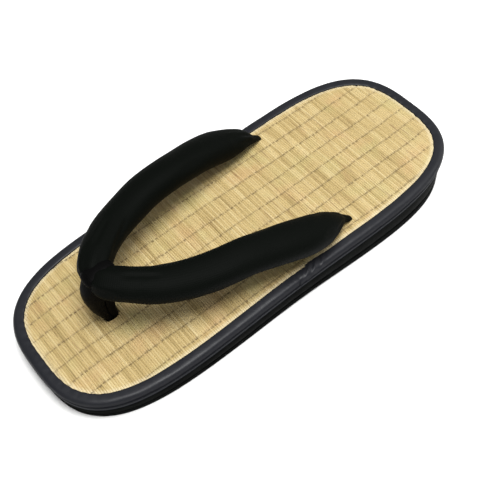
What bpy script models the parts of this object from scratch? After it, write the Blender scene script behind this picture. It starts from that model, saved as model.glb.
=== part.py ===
# Zori sandal: a rush mat bound with rolled tape, on a wedge sole, with padded thong straps.
# Metres. +X points to the toe, +Z up, the ground is z = 0 and the middle line y = 0.
import bisect
import math

import bmesh
import bpy
from mathutils import Vector

# Clearance that every piece keeps to its neighbours
GAP = 0.0003

# Footbed outline, which is the edge of the mat
MAT_LENGTH = 0.2373
WAIST_HALF = 0.04245
END_FLARE = 0.0104
END_POWER = 3.07

# Height of the mat's top above the ground at its two ends
TOE_HEIGHT = 0.0150
HEEL_HEIGHT = 0.0249

# Layers under the foot
MAT_THICK = 0.0016
INSOLE_THICK = 0.0031
MIDSOLE_THICK = 0.0024

# How far each layer's edge stands outside the mat's edge
BINDING_REACH = 0.0063
MIDSOLE_REACH = 0.0057
OUTSOLE_REACH = 0.0050

# Rolled edge tape: its height over the mat, and where its two lengths meet
BINDING_PROUD = 0.0005
BINDING_POWER = 2.5
LAP_X = -0.0107

# Sole: toe spring, shallow arch and rolled heel
TOE_SPRING = 0.0009
TOE_SPRING_RUN = 0.026
ARCH_RISE = 0.0008
ARCH_MIDDLE = -0.006
ARCH_RUN = 0.040
HEEL_ROLL = 0.0010
HEEL_ROLL_RUN = 0.012

# Tread: wide bars between shallow cross grooves that stop short of the edge
TREAD_GROOVE = 0.0024
TREAD_DEPTH = 0.0012
TREAD_PITCH = 0.0105
TREAD_MARGIN = 0.0070
FOREFOOT_TREAD_FROM = 0.028
FOREFOOT_GROOVES = 6
HEEL_TREAD_FROM = -0.098
HEEL_GROOVES = 5

# Straps: distance of the rear holes from the mat's heel end and from its edge at the waist,
# height of the clear space under the front, and the pad's own size
TAIL_FROM_HEEL = 0.07515
TAIL_X = TAIL_FROM_HEEL - MAT_LENGTH / 2
TAIL_MARGIN = 0.0057
STRAP_LIFT = 0.0250
STRAP_WIDTH = 0.0202
STRAP_THICK = 0.0158
STRAP_TILT = math.radians(9)
STRAP_POWER = 2.3
TAIL_WIDTH = 0.0042
TAIL_THICK = 0.0030
TAIL_BEND = 0.0035
TAIL_TURNS = (0, 35, 70)
TAIL_Y = WAIST_HALF - TAIL_MARGIN

# How far an upright stretch of strap still faces the toe, so that its section can't spin
UPRIGHT_FACING_RATIO = 0.25

# Front thong: a folded band that holds the straps' meeting and goes down between the toes
THONG_FROM_TOE = 0.03765
THONG_X = MAT_LENGTH / 2 - THONG_FROM_TOE
THONG_WIDTH = 0.0090
THONG_THICK = 0.0036
THONG_SLIT = 0.0005
THONG_POWER = 2.6
HOLE_POWER = 3.2
EYE_BACK = 0.0022
EYE_HALF_LENGTH = 0.0056
EYE_HALF_HEIGHT = 0.0038
EYE_TURNS = range(-20, 201, 20)
EYE_X = THONG_X - EYE_BACK
STRAP_END_X = EYE_X + EYE_HALF_LENGTH

# Rounding of the midsole's edge, in degrees from its foot to its top
MIDSOLE_TURNS = (-75, -30, 30, 75)

# How far the cutters run past what they cut
CUT_PAST = 0.0020

# Mesh fineness, and the angle from which an edge is drawn sharp
FINE_STEPS = 720
HALF_OUTLINE = 38
BINDING_SIDES = 12
STRAP_SIDES = 14
THONG_SIDES = 12
SMOOTH_STEPS = 2
SHARP_ANGLE = math.radians(35)

# Straps by station. Run goes from the rear hole to the front end, out is a share of the rear
# holes' half spacing, lift a share of the clear space, wide and thick shares of the pad.
STRAP_COLUMNS = ("run", "out", "lift", "wide", "thick")
STRAP_ROWS = (
    (0.042, 0.985, 0.08, 0.28, 0.26),
    (0.078, 0.995, 0.12, 0.49, 0.48),
    (0.124, 1.010, 0.13, 0.76, 0.74),
    (0.178, 1.026, 0.15, 0.94, 0.93),
    (0.247, 1.024, 0.25, 1.03, 1.00),
    (0.325, 0.992, 0.39, 1.04, 1.00),
    (0.410, 0.944, 0.51, 1.02, 1.00),
    (0.502, 0.891, 0.62, 1.00, 1.00),
    (0.611, 0.829, 0.68, 1.00, 1.00),
    (0.711, 0.721, 0.72, 0.98, 0.98),
    (0.804, 0.585, 0.80, 0.95, 0.95),
    (0.881, 0.415, 0.88, 0.91, 0.94),
    (0.934, 0.250, 0.92, 0.85, 0.94),
    (0.970, 0.120, 0.95, 0.72, 0.86),
    (0.990, 0.045, 1.02, 0.48, 0.62),
    (1.000, 0.000, 1.15, 0.15, 0.23),
)

# Front thong's two strands below the eye: height as a share of the eye's height over the mat,
# how far the toe and heel strands' middles stand from the hole's middle in band thicknesses,
# and the band's width and thickness as shares
STRAND_COLUMNS = ("height", "toe", "heel", "wide", "thick")
STRAND_ROWS = (
    (0.05, 0.57, -0.57, 0.90, 1.00),
    (0.20, 1.16, -0.39, 0.98, 1.40),
    (0.42, 1.50, -0.40, 1.04, 1.74),
    (0.64, 1.70, -1.10, 1.06, 1.86),
    (0.80, 1.68, -1.68, 1.02, 1.66),
)

# Outsole wall from the ground up: height as a share of the wall, and how far it is set in
WALL_COLUMNS = ("height", "inset")
WALL_ROWS = (
    (0.00, 0.0005),
    (0.07, 0.0001),
    (0.16, 0.0000),
    (0.33, 0.0000),
    (0.36, 0.0005),
    (0.42, 0.0005),
    (0.45, 0.0000),
    (0.93, 0.0000),
    (1.00, 0.0005),
)


def deck_height(x):
    """Top of the mat at x: a plane that falls from the heel to the toe."""
    share = (x + MAT_LENGTH / 2) / MAT_LENGTH
    return HEEL_HEIGHT + (TOE_HEIGHT - HEEL_HEIGHT) * share


def ground_height(x):
    """Underside of the sole at x: flat, with toe spring, arch and rolled heel."""
    half = MAT_LENGTH / 2 + OUTSOLE_REACH
    spring = max(0.0, (x - half + TOE_SPRING_RUN) / TOE_SPRING_RUN)
    roll = max(0.0, (-x - half + HEEL_ROLL_RUN) / HEEL_ROLL_RUN)
    arch = max(0.0, 1 - ((x - ARCH_MIDDLE) / ARCH_RUN) ** 2)
    return TOE_SPRING * spring ** 2 + HEEL_ROLL * roll ** 2 + ARCH_RISE * arch ** 2


def power_cos(angle, power):
    value = math.cos(angle)
    return math.copysign(abs(value) ** (2 / power), value)


def power_sin(angle, power):
    value = math.sin(angle)
    return math.copysign(abs(value) ** (2 / power), value)


def edge_point(angle):
    """A point of the mat's edge: rounded ends and nearly parallel sides."""
    along = power_cos(angle, END_POWER)
    side = WAIST_HALF + END_FLARE * along ** 2
    return Vector((along * MAT_LENGTH / 2, side * power_sin(angle, END_POWER), 0))


def even_edge():
    """The left half of the edge from toe to heel, as evenly spaced points with outward normals."""
    points = [edge_point(math.pi * i / FINE_STEPS) for i in range(FINE_STEPS + 1)]
    lengths = [0.0]
    for before, after in zip(points, points[1:]):
        lengths.append(lengths[-1] + (after - before).length)
    found = []
    for i in range(HALF_OUTLINE + 1):
        wanted = lengths[-1] * i / HALF_OUTLINE
        k = min(max(bisect.bisect_left(lengths, wanted), 1), FINE_STEPS)
        share = (wanted - lengths[k - 1]) / (lengths[k] - lengths[k - 1])
        place = points[k - 1].lerp(points[k], share)
        ahead = points[k] - points[k - 1]
        found.append((place, Vector((ahead.y, -ahead.x, 0)).normalized()))
    found[0] = (points[0], Vector((1, 0, 0)))
    found[-1] = (points[-1], Vector((-1, 0, 0)))
    return found


LEFT_EDGE = even_edge()


def loop_at(reach):
    """The whole edge moved out by reach, anticlockwise from the toe, with z left at 0."""
    left = [place + normal * reach for place, normal in LEFT_EDGE]
    right = [Vector((p.x, -p.y, 0)) for p in reversed(left[1:-1])]
    return left + right


def edge_at(x):
    """Point and outward normal of the left edge at x."""
    for (p, n), (q, m) in zip(LEFT_EDGE, LEFT_EDGE[1:]):
        if q.x <= x <= p.x:
            share = (p.x - x) / (p.x - q.x)
            return p.lerp(q, share), n.lerp(m, share).normalized()
    return LEFT_EDGE[-1]


def mirrored(chain):
    """The same edge points on the right side, in reverse order."""
    return [(Vector((p.x, -p.y, 0)), Vector((n.x, -n.y, 0))) for p, n in reversed(chain)]


def material(name, colour, roughness, metallic=0.0):
    made = bpy.data.materials.new(name)
    made.use_nodes = True
    shader = made.node_tree.nodes["Principled BSDF"]
    shader.inputs["Base Color"].default_value = (*colour, 1)
    shader.inputs["Roughness"].default_value = roughness
    shader.inputs["Metallic"].default_value = metallic
    made.diffuse_color = (*colour, 1)
    return made


def add_object(name, points, faces, finish=None):
    """A closed mesh object with its faces turned outwards."""
    mesh = bpy.data.meshes.new(name)
    shape = bmesh.new()
    corners = [shape.verts.new(p) for p in points]
    for face in faces:
        shape.faces.new([corners[i] for i in face])
    bmesh.ops.recalc_face_normals(shape, faces=shape.faces)
    shape.to_mesh(mesh)
    shape.free()
    mesh.shade_smooth()
    mesh.set_sharp_from_angle(angle=SHARP_ANGLE)
    made = bpy.data.objects.new(name, mesh)
    bpy.context.scene.collection.objects.link(made)
    if finish:
        mesh.materials.append(finish)
    else:
        made.hide_render = True
        made.display_type = "WIRE"
    return made


def layer(name, rows, finish):
    """A slab from stacked edge loops. Each row gives a reach and a height as a function of x."""
    points = []
    for reach, height in rows:
        for p in loop_at(reach):
            points.append(Vector((p.x, p.y, height(p.x))))
    count = 2 * HALF_OUTLINE
    faces = []
    for level in range(len(rows) - 1):
        base = level * count
        for i in range(count):
            j = (i + 1) % count
            faces.append((base + i, base + j, base + count + j, base + count + i))
    for base in (0, (len(rows) - 1) * count):
        faces.append((base, base + 1, base + count - 1))
        for i in range(1, HALF_OUTLINE - 1):
            faces.append((base + i, base + i + 1, base + count - i - 1, base + count - i))
        tip = base + HALF_OUTLINE
        faces.append((tip - 1, tip, tip + 1))
    return add_object(name, points, faces, finish)


def loft(name, rings, finish=None, closed=False):
    """A skin over rings of points, either capped at both ends or joined round."""
    count = len(rings[0])
    points = [p for ring in rings for p in ring]
    faces = []
    last = len(rings) if closed else len(rings) - 1
    for level in range(last):
        base = level * count
        above = (level + 1) % len(rings) * count
        for i in range(count):
            j = (i + 1) % count
            faces.append((base + i, base + j, above + j, above + i))
    if not closed:
        faces.append(tuple(range(count)))
        faces.append(tuple(range(len(points) - count, len(points))))
    return add_object(name, points, faces, finish)


def cut(body, tool, operation="DIFFERENCE"):
    change = body.modifiers.new(operation.title() + " " + tool.name, "BOOLEAN")
    change.operation = operation
    change.solver = "EXACT"
    change.object = tool


def smooth_rows(rows):
    """Rows of numbers with extra rows between them, on a smooth curve through all of them."""
    made = []
    for k in range(len(rows) - 1):
        before = rows[max(k - 1, 0)]
        here, after = rows[k], rows[k + 1]
        beyond = rows[min(k + 2, len(rows) - 1)]
        for step in range(SMOOTH_STEPS):
            t = step / SMOOTH_STEPS
            made.append(tuple(
                b + 0.5 * t * ((c - a) + t * (2 * a - 5 * b + 4 * c - d + t * (3 * (b - c) + d - a)))
                for a, b, c, d in zip(before, here, after, beyond)))
    made.append(rows[-1])
    return made


def pad_half_height(width, thick, tilt):
    """How far a tilted pad's section reaches below its middle."""
    dual = STRAP_POWER / (STRAP_POWER - 1)
    lean = (width / 2 * math.sin(tilt)) ** dual
    return (lean + (thick / 2 * math.cos(tilt)) ** dual) ** (1 / dual)


def strap_stations():
    """Left strap: middle, width, thickness and tilt of each section, from the tail to the front."""
    tail_rise = 2 * GAP + TAIL_THICK / 2
    tail_foot = 2 * GAP - MAT_THICK - GAP - INSOLE_THICK
    rows = []
    for height in (tail_foot, (tail_foot + tail_rise - TAIL_BEND) / 2):
        rows.append((TAIL_X, TAIL_Y, height, TAIL_WIDTH, TAIL_THICK, 0))
    for degrees in TAIL_TURNS:
        turn = math.radians(degrees)
        x = TAIL_X + TAIL_BEND * (1 - math.cos(turn))
        height = tail_rise - TAIL_BEND * (1 - math.sin(turn))
        rows.append((x, TAIL_Y, height, TAIL_WIDTH, TAIL_THICK, 0))
    for values in STRAP_ROWS:
        row = dict(zip(STRAP_COLUMNS, values))
        width = row["wide"] * STRAP_WIDTH
        thick = row["thick"] * STRAP_THICK
        tilt = STRAP_TILT * row["wide"] * math.sin(math.pi * row["run"])
        rise = 2 * GAP + pad_half_height(width, thick, tilt) + row["lift"] * STRAP_LIFT
        x = TAIL_X + row["run"] * (STRAP_END_X - TAIL_X)
        rows.append((x, row["out"] * TAIL_Y, rise, width, thick, tilt))
    return smooth_rows(rows)


def strap_rings(side, grow=0.0, reach=None):
    """Rings of one strap on the mat. Reach limits them to the tail, grow adds clearance."""
    stations = strap_stations()
    if reach:
        stations = [s for s in stations if s[0] < TAIL_X + reach]
        foot = list(stations[0])
        foot[2] -= CUT_PAST
        stations.insert(0, tuple(foot))
    middles = [Vector((x, y, rise + deck_height(x))) for x, y, rise, *_ in stations]
    rings = []
    for k, (x, y, rise, width, thick, tilt) in enumerate(stations):
        ahead = middles[min(k + 1, len(middles) - 1)] - middles[max(k - 1, 0)]
        ahead.normalize()
        heading = Vector((ahead.x + UPRIGHT_FACING_RATIO * abs(ahead.z), ahead.y, 0)).normalized()
        across = Vector((-heading.y, heading.x, 0))
        across = (across - ahead * across.dot(ahead)).normalized()
        up = ahead.cross(across)
        if up.z < 0:
            up = -up
        leaning = across * math.cos(tilt) - up * math.sin(tilt)
        standing = up * math.cos(tilt) + across * math.sin(tilt)
        ring = []
        for i in range(STRAP_SIDES):
            angle = 2 * math.pi * i / STRAP_SIDES
            p = middles[k] + leaning * ((width / 2 + grow) * power_cos(angle, STRAP_POWER))
            p += standing * ((thick / 2 + grow) * power_sin(angle, STRAP_POWER))
            ring.append(Vector((p.x, side * p.y, p.z)))
        rings.append(ring)
    return rings


def thong_path():
    """Middle of the folded band in the plane y = 0: x, height over the mat, width, thickness."""
    apart = (THONG_THICK + THONG_SLIT) / 2
    foot = 2 * GAP + THONG_THICK / 2 - MAT_THICK - GAP - INSOLE_THICK
    eye_height = 2 * GAP + STRAP_THICK / 2 + STRAP_LIFT
    strands = [dict(zip(STRAND_COLUMNS, values)) for values in STRAND_ROWS]
    narrow = strands[0]["wide"] * THONG_WIDTH
    rows = [(THONG_X, foot, narrow, THONG_THICK)]
    rows.append((THONG_X + apart, foot + apart, narrow, THONG_THICK))
    for row in strands:
        rows.append((THONG_X + row["toe"] * THONG_THICK, row["height"] * eye_height,
                     row["wide"] * THONG_WIDTH, row["thick"] * THONG_THICK))
    for degrees in EYE_TURNS:
        turn = math.radians(degrees)
        x = EYE_X + (EYE_HALF_LENGTH + THONG_THICK / 2) * math.cos(turn)
        height = eye_height + (EYE_HALF_HEIGHT + THONG_THICK / 2) * math.sin(turn)
        rows.append((x, height, THONG_WIDTH, THONG_THICK))
    for row in reversed(strands):
        rows.append((THONG_X + row["heel"] * THONG_THICK, row["height"] * eye_height,
                     row["wide"] * THONG_WIDTH, row["thick"] * THONG_THICK))
    rows.append((THONG_X - apart, foot + apart, narrow, THONG_THICK))
    return rows


def thong_rings(grow=0.0):
    """Rings round the closed band, each square to its path."""
    rows = thong_path()
    looped = [rows[-1]] + rows + rows[:2]
    eased = smooth_rows(looped)[SMOOTH_STEPS:-1 - SMOOTH_STEPS]
    middles = [Vector((x, 0, height + deck_height(x))) for x, height, *_ in eased]
    rings = []
    for k, (x, height, width, thick) in enumerate(eased):
        ahead = middles[(k + 1) % len(middles)] - middles[k - 1]
        ahead.normalize()
        out = Vector((ahead.z, 0, -ahead.x))
        ring = []
        for i in range(THONG_SIDES):
            angle = 2 * math.pi * i / THONG_SIDES
            p = middles[k] + out * ((thick / 2 + grow) * power_sin(angle, THONG_POWER))
            p.y += (width / 2 + grow) * power_cos(angle, THONG_POWER)
            ring.append(p)
        rings.append(ring)
    return rings


def thong_hole():
    """Cutter for the front hole: a rounded upright plug round both strands."""
    half_x = THONG_THICK + THONG_SLIT / 2 + 2 * GAP
    half_y = thong_path()[0][2] / 2 + 2 * GAP
    rings = []
    top = deck_height(THONG_X)
    for z in (top - MAT_THICK - GAP - INSOLE_THICK - CUT_PAST, top + CUT_PAST):
        ring = []
        for i in range(THONG_SIDES):
            angle = 2 * math.pi * (i + 0.5) / THONG_SIDES
            x = THONG_X + half_x * power_cos(angle, HOLE_POWER)
            y = half_y * power_sin(angle, HOLE_POWER)
            ring.append(Vector((x, y, z)))
        rings.append(ring)
    return loft("cutter_thong_hole", rings)


def half_width(x, reach):
    """Half width of the sole at x, for an edge that stands out by reach."""
    loop = [place + normal * reach for place, normal in LEFT_EDGE]
    for p, q in zip(loop, loop[1:]):
        if q.x <= x <= p.x:
            return p.y + (q.y - p.y) * (p.x - x) / (p.x - q.x)
    return 0.0


def box(name, low, high):
    points = [Vector((x, y, z)) for x in (low[0], high[0]) for y in (low[1], high[1])
              for z in (low[2], high[2])]
    faces = ((0, 1, 3, 2), (4, 6, 7, 5), (0, 4, 5, 1), (2, 3, 7, 6), (0, 2, 6, 4), (1, 5, 7, 3))
    return add_object(name, points, faces)


def tread_cutters():
    """Cross grooves under the forefoot and the heel."""
    starts = [FOREFOOT_TREAD_FROM + i * TREAD_PITCH for i in range(FOREFOOT_GROOVES)]
    starts += [HEEL_TREAD_FROM + i * TREAD_PITCH for i in range(HEEL_GROOVES)]
    for number, x in enumerate(starts):
        side = min(half_width(x, OUTSOLE_REACH), half_width(x + TREAD_GROOVE, OUTSOLE_REACH))
        low = (x, TREAD_MARGIN - side, -TREAD_DEPTH)
        high = (x + TREAD_GROOVE, side - TREAD_MARGIN, TREAD_DEPTH)
        yield box("cutter_tread_%02d" % number, low, high)


def sole_layers():
    """Mat, insole, midsole and outsole, from the foot down."""
    insole_top = MAT_THICK + GAP
    insole_foot = insole_top + INSOLE_THICK
    midsole_top = insole_foot + GAP
    midsole_foot = midsole_top + MIDSOLE_THICK
    outsole_top = midsole_foot + GAP
    straw = material("rush", (0.62, 0.52, 0.30), 0.6)
    foam = material("foam", (0.03, 0.03, 0.03), 0.8)
    vinyl = material("satin_vinyl", (0.03, 0.03, 0.035), 0.35)
    rubber = material("sole_rubber", (0.012, 0.012, 0.012), 0.75)
    mat = layer("rush_mat", [(0, lambda x: deck_height(x) - MAT_THICK), (0, deck_height)], straw)
    insole = layer("insole", [(0, lambda x: deck_height(x) - insole_foot),
                              (0, lambda x: deck_height(x) - insole_top)], foam)
    edge = MIDSOLE_THICK / 2
    midsole_rows = []
    full = math.sin(math.radians(MIDSOLE_TURNS[-1]))
    for degrees in MIDSOLE_TURNS:
        turn = math.radians(degrees)
        drop = midsole_top + edge - edge * math.sin(turn) / full
        reach = MIDSOLE_REACH - edge * (1 - math.cos(turn))
        midsole_rows.append((reach, lambda x, drop=drop: deck_height(x) - drop))
    layer("midsole", midsole_rows, vinyl)
    wall = []
    for values in WALL_ROWS:
        row = dict(zip(WALL_COLUMNS, values))
        wall.append((OUTSOLE_REACH - row["inset"], lambda x, share=row["height"]: (
            ground_height(x) * (1 - share) + (deck_height(x) - outsole_top) * share)))
    outsole = layer("outsole", wall, rubber)
    for tool in tread_cutters():
        cut(outsole, tool)
    return mat, insole


def binding():
    """The rolled edge tape in two lengths, which meet at the waist on both sides."""
    tape = material("binding_vinyl", (0.035, 0.035, 0.042), 0.3)
    bottom = -(MAT_THICK + GAP + INSOLE_THICK)
    half_height = (BINDING_PROUD - bottom) / 2
    half_reach = (BINDING_REACH - GAP) / 2
    fore = [(p, n) for p, n in LEFT_EDGE if p.x > LAP_X + GAP / 2] + [edge_at(LAP_X + GAP / 2)]
    heel = [edge_at(LAP_X - GAP / 2)] + [(p, n) for p, n in LEFT_EDGE if p.x < LAP_X - GAP / 2]
    fore = mirrored(fore[1:]) + fore
    heel = heel + mirrored(heel[:-1])
    for name, chain in (("binding_fore", fore), ("binding_heel", heel)):
        rings = []
        for p, n in chain:
            ring = []
            for i in range(BINDING_SIDES):
                angle = 2 * math.pi * (i + 0.5) / BINDING_SIDES
                place = p + n * (GAP + half_reach * (1 + power_cos(angle, BINDING_POWER)))
                rise = bottom + half_height * (1 + power_sin(angle, BINDING_POWER))
                ring.append(Vector((place.x, place.y, deck_height(place.x) + rise)))
            rings.append(ring)
        loft(name, rings, tape)


def upper(mat, insole):
    """The padded straps, joined at the front, and the thong that ties them to the sole."""
    cloth = material("strap_cloth", (0.012, 0.013, 0.013), 0.7)
    band = material("thong_cloth", (0.008, 0.008, 0.008), 0.6)
    straps = loft("straps", strap_rings(1), cloth)
    other = loft("cutter_right_strap", strap_rings(-1))
    cut(straps, other, "UNION")
    loft("front_thong", thong_rings(), band, closed=True)
    groove = loft("cutter_thong_groove", thong_rings(GAP), closed=True)
    cut(straps, groove)
    tools = [thong_hole()]
    for side, word in ((1, "left"), (-1, "right")):
        tools.append(loft("cutter_tail_" + word, strap_rings(side, GAP, 2 * TAIL_BEND)))
    for tool in tools:
        cut(mat, tool)
        cut(insole, tool)


for old in list(bpy.data.objects):
    bpy.data.objects.remove(old, do_unlink=True)

mat_piece, insole_piece = sole_layers()
binding()
upper(mat_piece, insole_piece)
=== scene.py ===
import bisect
import math

import bmesh
import bpy
from mathutils import Matrix, Vector, noise


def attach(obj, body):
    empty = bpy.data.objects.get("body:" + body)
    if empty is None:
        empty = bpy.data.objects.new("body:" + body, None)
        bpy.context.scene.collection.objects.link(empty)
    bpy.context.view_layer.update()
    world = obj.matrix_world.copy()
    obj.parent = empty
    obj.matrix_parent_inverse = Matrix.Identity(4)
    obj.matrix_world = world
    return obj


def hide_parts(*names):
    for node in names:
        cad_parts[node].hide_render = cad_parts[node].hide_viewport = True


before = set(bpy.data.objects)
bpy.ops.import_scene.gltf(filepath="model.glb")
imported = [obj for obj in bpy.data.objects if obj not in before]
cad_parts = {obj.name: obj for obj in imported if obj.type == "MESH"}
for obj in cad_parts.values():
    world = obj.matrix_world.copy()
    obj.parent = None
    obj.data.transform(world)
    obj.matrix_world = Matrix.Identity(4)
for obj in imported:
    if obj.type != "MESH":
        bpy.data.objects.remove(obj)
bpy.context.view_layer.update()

scene = bpy.context.scene
scene.view_settings.view_transform = "Standard"
print("frame loaded")

# sizes of the sandal in metres: +X to the toe, +Z up, the ground at 0
sandal = {
    "halfLength": 0.11865, "waistHalf": 0.04245, "endFlare": 0.0104, "endPower": 3.07,
    "toeHeight": 0.0150, "heelHeight": 0.0249, "gap": 0.0003,
    "matThick": 0.0016, "insoleThick": 0.0031, "midsoleThick": 0.0024,
    "outlinePoints": 360,
}


# small tools

def linear(hexColour):
    # sRGB hex to the linear colour that the shader wants
    parts = [int(hexColour[i:i + 2], 16) / 255 for i in (1, 3, 5)]
    return tuple([p / 12.92 if p <= 0.04045 else ((p + 0.055) / 1.055) ** 2.4 for p in parts] + [1.0])


def smoothStep(low, high, value):
    t = min(1.0, max(0.0, (value - low) / (high - low)))
    return t * t * (3 - 2 * t)


def bell(distance, width):
    return math.exp(-(distance / width) ** 2)


def signedPower(value, power):
    return math.copysign(abs(value) ** power, value)


def addNode(tree, kind, links=None, **settings):
    node = tree.nodes.new(kind)
    for key, value in settings.items():
        setattr(node, key, value)
    for socket, source in (links or {}).items():
        if isinstance(source, bpy.types.NodeSocket):
            tree.links.new(source, node.inputs[socket])
        else:
            node.inputs[socket].default_value = source
    return node


def noiseNode(tree, place, scale, detail):
    return addNode(tree, "ShaderNodeTexNoise", {"Vector": place, "Scale": scale, "Detail": detail})


def bumpNode(tree, height, strength, distance, under=None):
    links = {"Height": height, "Strength": strength, "Distance": distance}
    if under is not None:
        links["Normal"] = under
    return addNode(tree, "ShaderNodeBump", links)


def rangeNode(tree, value, low, high, top, bottom=0.0):
    return addNode(tree, "ShaderNodeMapRange", {"Value": value, "From Min": low, "From Max": high,
                                                "To Min": bottom, "To Max": top})


def tintNode(tree, share, below, hexColour):
    return addNode(tree, "ShaderNodeMix", {"Factor": share, 6: below, 7: linear(hexColour)}, data_type="RGBA")


def rampNode(tree, value, colours):
    ramp = addNode(tree, "ShaderNodeValToRGB", {"Fac": value})
    while len(ramp.color_ramp.elements) < len(colours):
        ramp.color_ramp.elements.new(0.5)
    for element, (spot, colour) in zip(ramp.color_ramp.elements, colours):
        element.position = spot
        element.color = linear(colour)
    return ramp


def setInputs(shader, values):
    for name, value in values.items():
        shader.inputs[name].default_value = value


def shapedMesh(piece):
    # the piece's mesh as its modifiers leave it
    return bpy.data.meshes.new_from_object(piece.evaluated_get(bpy.context.evaluated_depsgraph_get()))


def makePiece(name, points, faces, sharpDegrees=50):
    mesh = bpy.data.meshes.new(name)
    mesh.from_pydata(points, [], faces)
    form = bmesh.new()
    form.from_mesh(mesh)
    bmesh.ops.recalc_face_normals(form, faces=form.faces)
    form.to_mesh(mesh)
    form.free()
    mesh.shade_smooth()
    mesh.set_sharp_from_angle(angle=math.radians(sharpDegrees))
    piece = bpy.data.objects.new(name, mesh)
    scene.collection.objects.link(piece)
    return piece


def loftRings(name, rings, closed=False, sharpDegrees=50):
    # a skin over rings of points, capped at both ends or joined round
    count = len(rings[0])
    points = [p for ring in rings for p in ring]
    faces = []
    for level in range(len(rings) if closed else len(rings) - 1):
        base = level * count
        above = (level + 1) % len(rings) * count
        for i in range(count):
            j = (i + 1) % count
            faces.append((base + i, base + j, above + j, above + i))
    if not closed:
        faces.append(tuple(range(count)))
        faces.append(tuple(range(len(points) - count, len(points))))
    return makePiece(name, points, faces, sharpDegrees)


def smoothRows(rows, steps):
    # extra rows on a smooth curve through the given ones
    made = []
    for k in range(len(rows) - 1):
        quad = (rows[max(k - 1, 0)], rows[k], rows[k + 1], rows[min(k + 2, len(rows) - 1)])
        for step in range(steps):
            t = step / steps
            made.append([b + 0.5 * t * ((c - a) + t * (2 * a - 5 * b + 4 * c - d + t * (3 * (b - c) + d - a)))
                         for a, b, c, d in zip(*quad)])
    made.append(list(rows[-1]))
    return made


def bakeNodes(piece, tree, values):
    # runs a geometry tree on the piece and keeps the result as a plain mesh
    grow = piece.modifiers.new(tree.name, "NODES")
    grow.node_group = tree
    for item in tree.interface.items_tree:
        if item.item_type == "SOCKET" and item.in_out == "INPUT" and item.name in values:
            grow[item.identifier] = values[item.name]
    made = shapedMesh(piece)
    piece.modifiers.remove(grow)
    piece.data = made
    return piece


# the outline and the slope that every layer shares

def edgePoint(angle):
    power = 2 / sandal["endPower"]
    along = signedPower(math.cos(angle), power)
    side = sandal["waistHalf"] + sandal["endFlare"] * along ** 2
    return Vector((along * sandal["halfLength"], side * signedPower(math.sin(angle), power), 0))


def evenOutline(count):
    # evenly spaced points of the mat's edge from the toe over the left side, with outward normals
    fine = 4000
    trail = [edgePoint(2 * math.pi * i / fine) for i in range(fine + 1)]
    lengths = [0.0]
    for before, after in zip(trail, trail[1:]):
        lengths.append(lengths[-1] + (after - before).length)
    spots = []
    for i in range(count):
        wanted = lengths[-1] * i / count
        k = min(max(bisect.bisect_left(lengths, wanted), 1), fine)
        share = (wanted - lengths[k - 1]) / (lengths[k] - lengths[k - 1])
        spots.append(trail[k - 1].lerp(trail[k], share))
    found = []
    for i, spot in enumerate(spots):
        ahead = spots[(i + 1) % count] - spots[i - 1]
        found.append((spot, Vector((ahead.y, -ahead.x, 0)).normalized()))
    return found, lengths[-1]


outline, outlineLength = evenOutline(sandal["outlinePoints"])


def deckHeight(x):
    share = (x + sandal["halfLength"]) / (2 * sandal["halfLength"])
    return sandal["heelHeight"] + (sandal["toeHeight"] - sandal["heelHeight"]) * share


def halfWidth(x, reach=0.0):
    # half width of the outline at x, moved out by reach
    half = len(outline) // 2
    loop = [p + n * reach for p, n in outline[:half + 1]]
    for p, q in zip(loop, loop[1:]):
        if q.x <= x <= p.x:
            return p.y + (q.y - p.y) * (p.x - x) / max(p.x - q.x, 1e-9)
    return 0.0


def edgeDistance(x, y):
    # how far a spot lies inside the mat's edge, negative outside it
    p, n = min(outline, key=lambda spot: (x - spot[0].x) ** 2 + (y - spot[0].y) ** 2)
    return (p.x - x) * n.x + (p.y - y) * n.y


def stackLoops(name, rows, sharpDegrees=50):
    # a slab from stacked outlines: each row has a reach and a height over x
    count = len(outline)
    half = count // 2
    points = []
    for reach, height in rows:
        for p, n in outline:
            q = p + n * reach
            points.append((q.x, q.y, height(q.x)))
    faces = []
    for level in range(len(rows) - 1):
        base = level * count
        for i in range(count):
            j = (i + 1) % count
            faces.append((base + i, base + j, base + count + j, base + count + i))
    for base in (0, (len(rows) - 1) * count):
        faces.append((base, base + 1, base + count - 1))
        for i in range(1, half - 1):
            faces.append((base + i, base + i + 1, base + count - i - 1, base + count - i))
        faces.append((base + half - 1, base + half, base + half + 1))
    return makePiece(name, points, faces, sharpDegrees)


# finishes

def newFinish(name):
    finish = bpy.data.materials.new(name)
    finish.use_nodes = True
    tree = finish.node_tree
    return finish, tree, tree.nodes["Principled BSDF"]


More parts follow.
